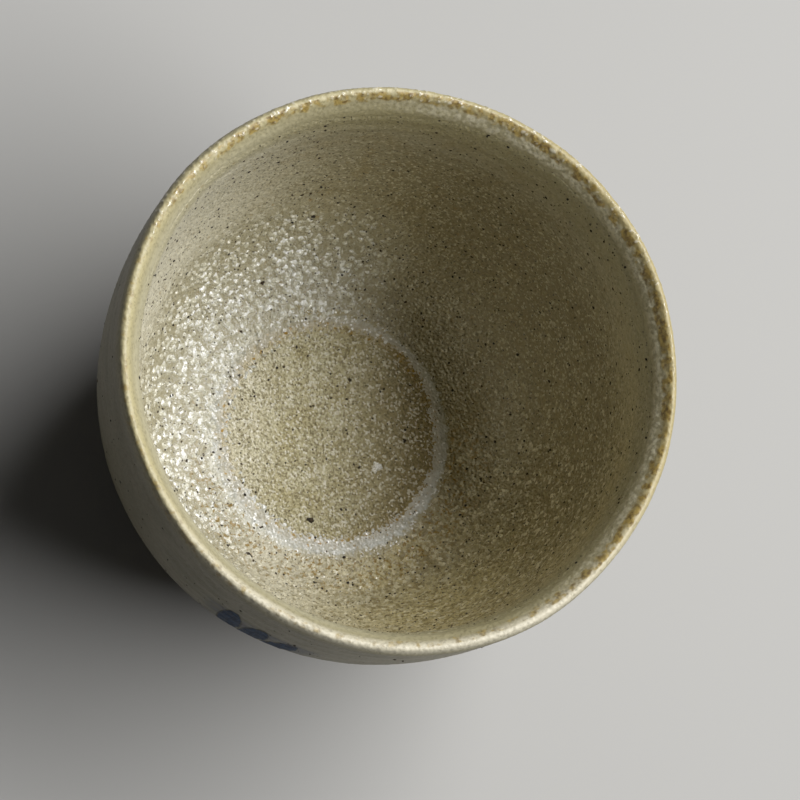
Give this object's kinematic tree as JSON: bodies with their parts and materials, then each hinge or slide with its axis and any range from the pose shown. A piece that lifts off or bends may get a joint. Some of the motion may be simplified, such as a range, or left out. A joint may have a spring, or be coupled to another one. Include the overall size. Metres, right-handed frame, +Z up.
{
  "type": "tea bowl",
  "caption": "Small hand-thrown stoneware tea bowl on a foot ring, with a beaded ash-coloured glaze inside, a pooled glaze ring round a sandy floor and a cobalt leaf spray outside.",
  "frame": {"origin": "on the standing surface, under the middle of the lip", "axes": "+Z up along the bowl's axis; -Y faces the side that the picture shows from outside; +X to the right of that view before the picture's turn"},
  "size_m": [0.08, 0.08, 0.06],
  "materials": {
    "bare_clay": "unglazed iron-flecked stoneware, matt",
    "lip_glaze": "thin cream glaze breaking to amber, satin",
    "outside_glaze": "grey-beige ash glaze with iron specks, satin",
    "inside_glaze": "beaded ash glaze with iron specks, glossy on the beads",
    "pooled_glaze": "bluish white pooled glaze, glossy",
    "floor_glaze": "thin sandy glaze with iron specks, matt",
    "cobalt": "brushed cobalt pigment, satin"
  },
  "bodies": {
    "root": {"clay_body": "bare_clay", "foot_ring": "bare_clay", "lip_glaze": "lip_glaze", "outside_glaze": "outside_glaze", "inside_glaze": "inside_glaze", "pooled_glaze_ring": "pooled_glaze", "floor_glaze": "floor_glaze", "cobalt_leaf_left": "cobalt", "cobalt_leaf_middle": "cobalt", "cobalt_leaf_right": "cobalt"}
  },
  "joints": []
}
